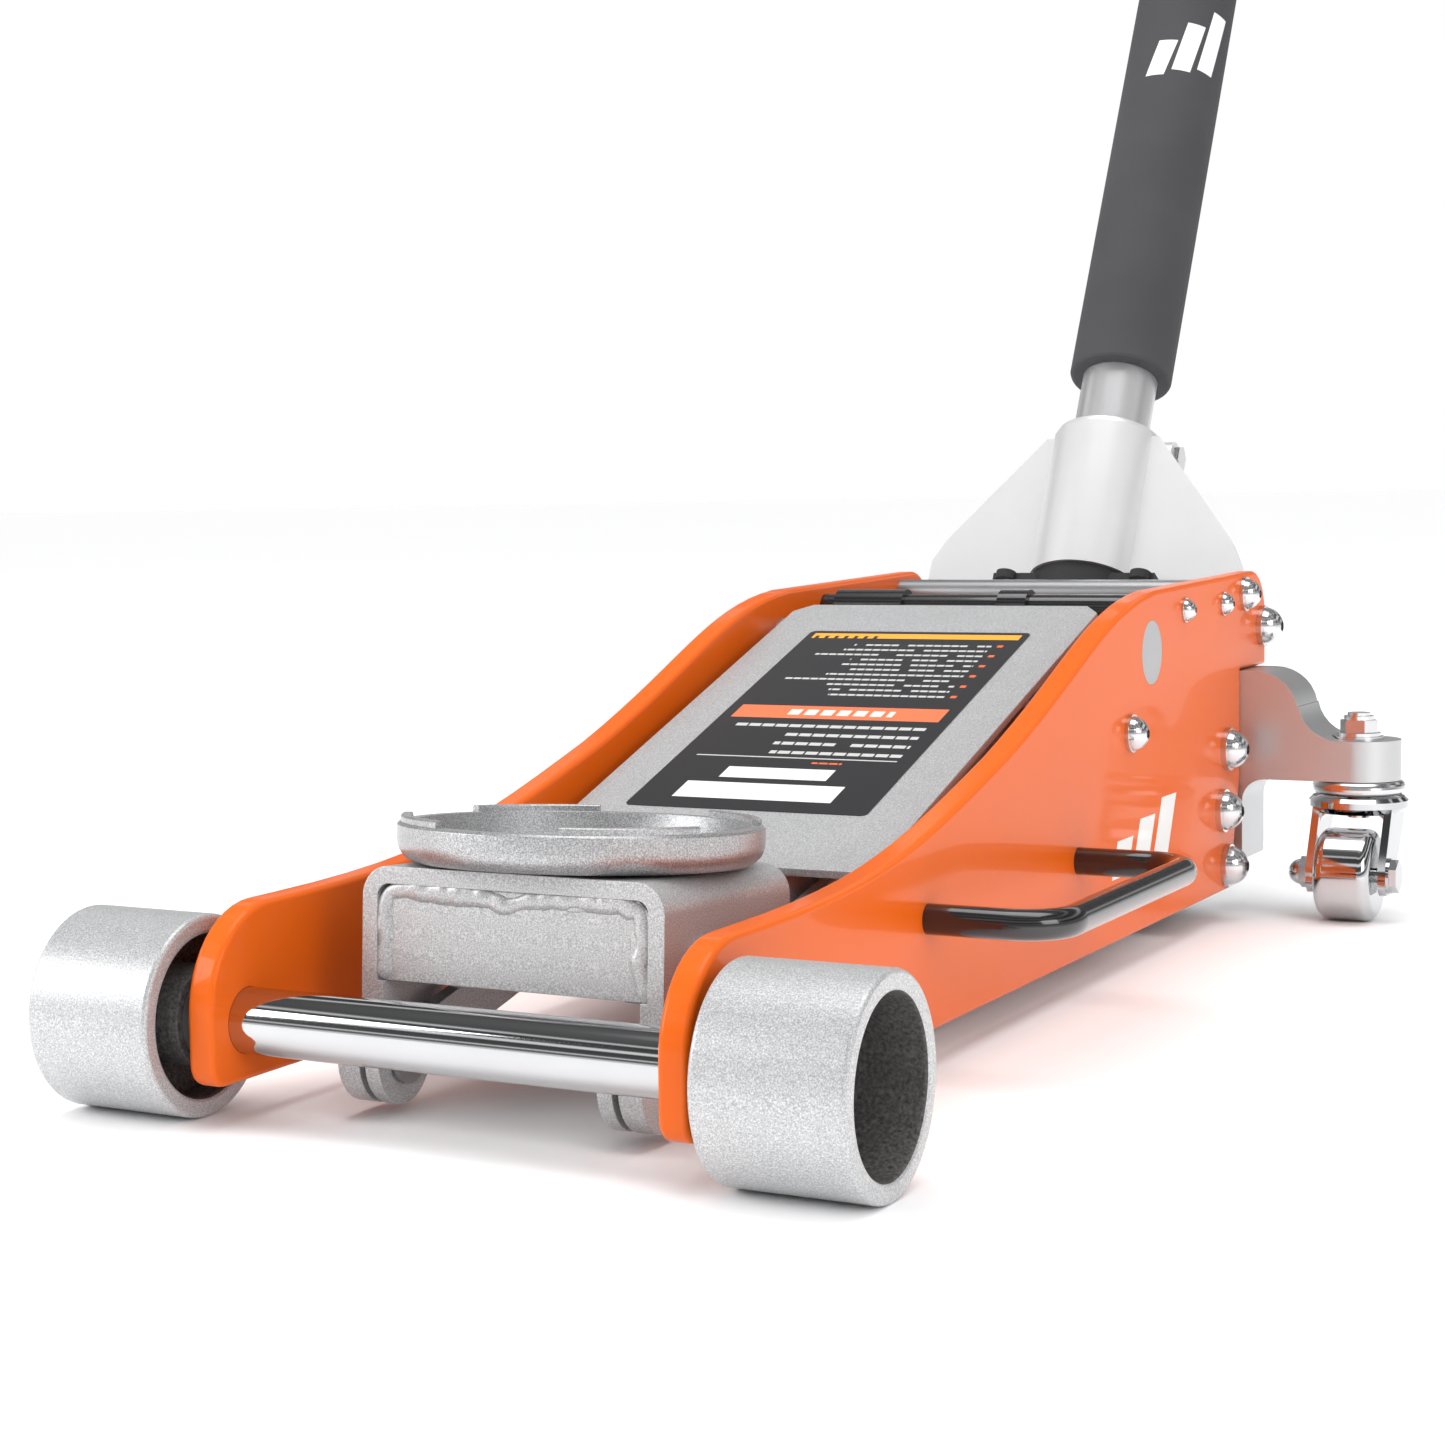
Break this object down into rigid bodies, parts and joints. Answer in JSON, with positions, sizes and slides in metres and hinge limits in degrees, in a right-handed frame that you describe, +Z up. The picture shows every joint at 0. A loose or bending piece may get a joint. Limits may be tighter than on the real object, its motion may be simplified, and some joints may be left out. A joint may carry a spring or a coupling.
{
  "type": "hydraulic floor jack",
  "caption": "Low-profile floor jack lowered on its wheels, with side plates, lift arm and levelling links, turning saddle, hydraulic unit, pump handle and swivel casters.",
  "frame": {"origin": "On the floor, at the centre of the bounding box in plan.", "axes": "+Z is up. +Y points from the saddle end to the handle end. +X is to the right of someone facing the jack's front and looking along +Y."},
  "size_m": [0.382, 1.3102, 1.1491],
  "materials": {
    "orange_paint": "gloss orange powder coat",
    "silver_paint": "silver powder coat with fine sparkle",
    "black_paint": "gloss black paint",
    "grey_cast": "painted casting",
    "bright_steel": "polished and plated steel",
    "dark_steel": "machined steel",
    "satin_aluminium": "satin aluminium",
    "black_foam": "matte foam",
    "black_rubber": "moulded rubber"
  },
  "bodies": {
    "frame": {"side_plate_right": "orange_paint", "side_plate_left": "orange_paint", "front_axle": "bright_steel", "axle_rings": "dark_steel", "tie_rod_front": "black_paint", "tie_rod_collars": "black_paint", "tie_rod_rear": "dark_steel", "link_anchor_studs": "dark_steel", "base_plate": "black_paint", "power_unit_block": "grey_cast", "ram_cylinder": "dark_steel", "reservoir_tube": "black_paint", "cylinder_gland": "dark_steel", "power_unit_plugs": "bright_steel", "plate_screws": "bright_steel", "bracket_screws": "bright_steel", "yoke_pivot_bolts": "bright_steel", "carry_handle_right": "black_paint", "carry_handle_left": "black_paint", "caster_bracket_right": "satin_aluminium", "caster_bracket_left": "satin_aluminium", "caster_kingpins": "bright_steel", "plunger_springs": "dark_steel", "return_springs": "dark_steel"},
    "lift_arm": {"lift_arm": "silver_paint", "lift_arm_cover": "silver_paint", "lift_pivot_shaft": "dark_steel", "crank_pin": "dark_steel", "crank_bush": "dark_steel"},
    "saddle_bracket": {"saddle_bracket": "silver_paint", "bracket_front_plate": "silver_paint", "bracket_pin": "dark_steel", "link_front_pins": "dark_steel"},
    "saddle": {"saddle": "silver_paint", "saddle_post": "dark_steel", "saddle_post_ring": "dark_steel"},
    "link_bars": {"link_bars": "silver_paint"},
    "ram": {"ram_rod": "bright_steel", "ram_pusher": "dark_steel"},
    "plungers": {"pump_plungers": "bright_steel"},
    "handle_yoke": {"handle_yoke": "satin_aluminium", "yoke_rubber_boot": "black_rubber", "pump_roller_pin": "dark_steel", "handle_clamp_screw": "bright_steel"},
    "pump_rollers": {"pump_rollers": "dark_steel"},
    "handle": {"handle_lower_tube": "satin_aluminium", "handle_upper_tube": "satin_aluminium", "foam_sleeve": "black_foam", "handle_grip": "black_rubber", "handle_valve_cup": "dark_steel"},
    "lock_button": {"handle_lock_button": "bright_steel"},
    "release_valve": {"release_valve": "dark_steel"},
    "front_wheel_right": {"front_wheel_right": "silver_paint"},
    "front_wheel_left": {"front_wheel_left": "silver_paint"},
    "caster_fork_right": {"caster_fork_right": "bright_steel", "caster_axle_right": "bright_steel"},
    "caster_fork_left": {"caster_fork_left": "bright_steel", "caster_axle_left": "bright_steel"},
    "caster_wheel_right": {"caster_wheel_right": "bright_steel"},
    "caster_wheel_left": {"caster_wheel_left": "bright_steel"}
  },
  "joints": [
    {"name": "lift_arm_swing", "type": "hinge", "parent": "frame", "child": "lift_arm", "pos_m": [0, -0.11906, 0.1545], "axis": [-1, 0, 0], "range_deg": [0, 54], "deforming": ["return_springs"]},
    {"name": "bracket_level", "type": "hinge", "parent": "lift_arm", "child": "saddle_bracket", "pos_m": [0, -0.54106, 0.061], "axis": [-1, 0, 0], "range_deg": [-54, 0]},
    {"name": "saddle_turn", "type": "hinge", "parent": "saddle_bracket", "child": "saddle", "pos_m": [0, -0.51902, 0.09372], "axis": [0, 0.061, 0.9981], "continuous": true},
    {"name": "link_swing", "type": "hinge", "parent": "frame", "child": "link_bars", "pos_m": [0, -0.15456, 0.117], "axis": [-1, 0, 0], "range_deg": [0, 54]},
    {"name": "ram_stroke", "type": "slide", "parent": "frame", "child": "ram", "axis": [0, -1, 0], "range_m": [0, 0.06816]},
    {"name": "handle_pump", "type": "hinge", "parent": "frame", "child": "handle_yoke", "pos_m": [0, 0.08144, 0.157], "axis": [-1, 0, 0], "range_deg": [0, 50]},
    {"name": "roller_spin", "type": "hinge", "parent": "handle_yoke", "child": "pump_rollers", "pos_m": [0, 0.09328, 0.13162], "axis": [1, 0, 0], "continuous": true},
    {"name": "plunger_stroke", "type": "slide", "parent": "frame", "child": "plungers", "axis": [0, -1, 0], "range_m": [0, 0.02377], "deforming": ["plunger_springs"]},
    {"name": "handle_twist", "type": "hinge", "parent": "handle_yoke", "child": "handle", "pos_m": [0, 0.08144, 0.157], "axis": [0, 0.4909, 0.8712], "range_deg": [0, 120]},
    {"name": "valve_turn", "type": "hinge", "parent": "frame", "child": "release_valve", "pos_m": [0, 0.08144, 0.157], "axis": [0, 0.8428, 0.5382], "range_deg": [0, 120]},
    {"name": "button_press", "type": "slide", "parent": "handle", "child": "lock_button", "axis": [0, 0.8712, -0.4909], "range_m": [0, 0.004], "stiffness_N_per_m": 400, "springref_m": -0.002},
    {"name": "front_wheel_right_roll", "type": "hinge", "parent": "frame", "child": "front_wheel_right", "pos_m": [0.143, -0.61506, 0.04], "axis": [1, 0, 0], "continuous": true},
    {"name": "front_wheel_left_roll", "type": "hinge", "parent": "frame", "child": "front_wheel_left", "pos_m": [-0.143, -0.61506, 0.04], "axis": [1, 0, 0], "continuous": true},
    {"name": "caster_right_swivel", "type": "hinge", "parent": "frame", "child": "caster_fork_right", "pos_m": [0.165, 0.06194, 0.066], "axis": [0, 0, 1], "continuous": true},
    {"name": "caster_left_swivel", "type": "hinge", "parent": "frame", "child": "caster_fork_left", "pos_m": [-0.165, 0.06194, 0.066], "axis": [0, 0, 1], "continuous": true},
    {"name": "caster_right_roll", "type": "hinge", "parent": "caster_fork_right", "child": "caster_wheel_right", "pos_m": [0.165, 0.04194, 0.025], "axis": [1, 0, 0], "continuous": true},
    {"name": "caster_left_roll", "type": "hinge", "parent": "caster_fork_left", "child": "caster_wheel_left", "pos_m": [-0.165, 0.04194, 0.025], "axis": [1, 0, 0], "continuous": true}
  ],
  "couplings": [
    {"joint": "bracket_level", "follows": "lift_arm_swing", "ratio": -1},
    {"joint": "link_swing", "follows": "lift_arm_swing", "ratio": 1},
    {"joint": "ram_stroke", "follows": "lift_arm_swing", "m_per_rad": 0.07221},
    {"joint": "plunger_stroke", "follows": "handle_pump", "m_per_rad": 0.02712},
    {"joint": "valve_turn", "follows": "handle_twist", "ratio": 1}
  ]
}
